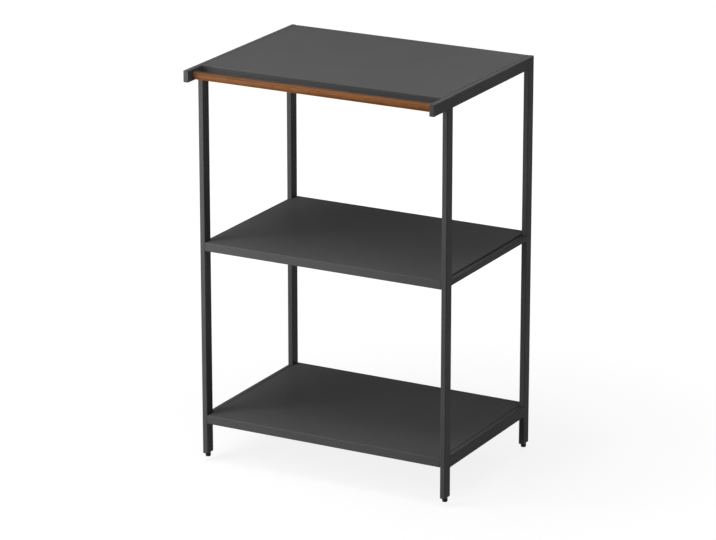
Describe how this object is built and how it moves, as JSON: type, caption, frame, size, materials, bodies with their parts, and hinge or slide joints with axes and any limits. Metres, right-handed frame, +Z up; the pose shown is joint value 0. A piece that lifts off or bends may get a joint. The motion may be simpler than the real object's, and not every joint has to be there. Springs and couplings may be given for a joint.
{
  "type": "storage rack",
  "caption": "Open storage rack of dark grey steel tube with folded sheet shelves, a round wooden bar between the front ends of its top rails and screw feet.",
  "frame": {"origin": "on the floor, under the middle of the outline", "axes": "+X to the right as seen from the front, +Y to the back, +Z up"},
  "size_m": [0.6, 0.47, 0.895],
  "materials": {
    "frame_steel": "matt dark grey powder coat",
    "panel_steel": "matt dark grey powder coat",
    "bar_wood": "satin lacquer over red-brown wood",
    "cap_plastic": "matt",
    "plug_plastic": "matt black",
    "pad_plastic": "matt black",
    "stud_steel": "black zinc",
    "zinc_steel": "bright zinc"
  },
  "bodies": {
    "frame": {"left_front_leg": "frame_steel", "left_rear_leg": "frame_steel", "left_top_rail": "frame_steel", "left_mid_rail": "frame_steel", "left_low_rail": "frame_steel", "left_rail_cap": "cap_plastic", "right_front_leg": "frame_steel", "right_rear_leg": "frame_steel", "right_top_rail": "frame_steel", "right_mid_rail": "frame_steel", "right_low_rail": "frame_steel", "right_rail_cap": "cap_plastic", "left_front_leg_plug": "plug_plastic", "left_rear_leg_plug": "plug_plastic", "right_front_leg_plug": "plug_plastic", "right_rear_leg_plug": "plug_plastic", "top_panel": "panel_steel", "mid_shelf": "panel_steel", "low_shelf": "panel_steel", "top_stiffener": "panel_steel", "mid_stiffener": "panel_steel", "low_stiffener": "panel_steel", "front_bar": "bar_wood", "bar_pins": "zinc_steel", "panel_bolts": "zinc_steel", "rivet_nuts": "zinc_steel"},
    "left_front_pad": {"left_front_foot_pad": "pad_plastic"},
    "left_front_stud": {"left_front_foot_stud": "stud_steel"},
    "left_rear_pad": {"left_rear_foot_pad": "pad_plastic"},
    "left_rear_stud": {"left_rear_foot_stud": "stud_steel"},
    "right_front_pad": {"right_front_foot_pad": "pad_plastic"},
    "right_front_stud": {"right_front_foot_stud": "stud_steel"},
    "right_rear_pad": {"right_rear_foot_pad": "pad_plastic"},
    "right_rear_stud": {"right_rear_foot_stud": "stud_steel"}
  },
  "joints": [
    {"name": "left_front_foot_lift", "type": "slide", "parent": "frame", "child": "left_front_pad", "axis": [0, 0, 1], "range_m": [-0.01, 0]},
    {"name": "left_front_foot_turn", "type": "hinge", "parent": "left_front_pad", "child": "left_front_stud", "pos_m": [-0.294, -0.162, 0], "axis": [0, 0, 1], "range_deg": [-3600, 0]},
    {"name": "left_rear_foot_lift", "type": "slide", "parent": "frame", "child": "left_rear_pad", "axis": [0, 0, 1], "range_m": [-0.01, 0]},
    {"name": "left_rear_foot_turn", "type": "hinge", "parent": "left_rear_pad", "child": "left_rear_stud", "pos_m": [-0.294, 0.222, 0], "axis": [0, 0, 1], "range_deg": [-3600, 0]},
    {"name": "right_front_foot_lift", "type": "slide", "parent": "frame", "child": "right_front_pad", "axis": [0, 0, 1], "range_m": [-0.01, 0]},
    {"name": "right_front_foot_turn", "type": "hinge", "parent": "right_front_pad", "child": "right_front_stud", "pos_m": [0.294, -0.162, 0], "axis": [0, 0, 1], "range_deg": [-3600, 0]},
    {"name": "right_rear_foot_lift", "type": "slide", "parent": "frame", "child": "right_rear_pad", "axis": [0, 0, 1], "range_m": [-0.01, 0]},
    {"name": "right_rear_foot_turn", "type": "hinge", "parent": "right_rear_pad", "child": "right_rear_stud", "pos_m": [0.294, 0.222, 0], "axis": [0, 0, 1], "range_deg": [-3600, 0]}
  ],
  "couplings": [
    {"joint": "left_front_foot_turn", "follows": "left_front_foot_lift", "rad_per_m": 6283.2},
    {"joint": "left_rear_foot_turn", "follows": "left_rear_foot_lift", "rad_per_m": 6283.2},
    {"joint": "right_front_foot_turn", "follows": "right_front_foot_lift", "rad_per_m": 6283.2},
    {"joint": "right_rear_foot_turn", "follows": "right_rear_foot_lift", "rad_per_m": 6283.2}
  ]
}
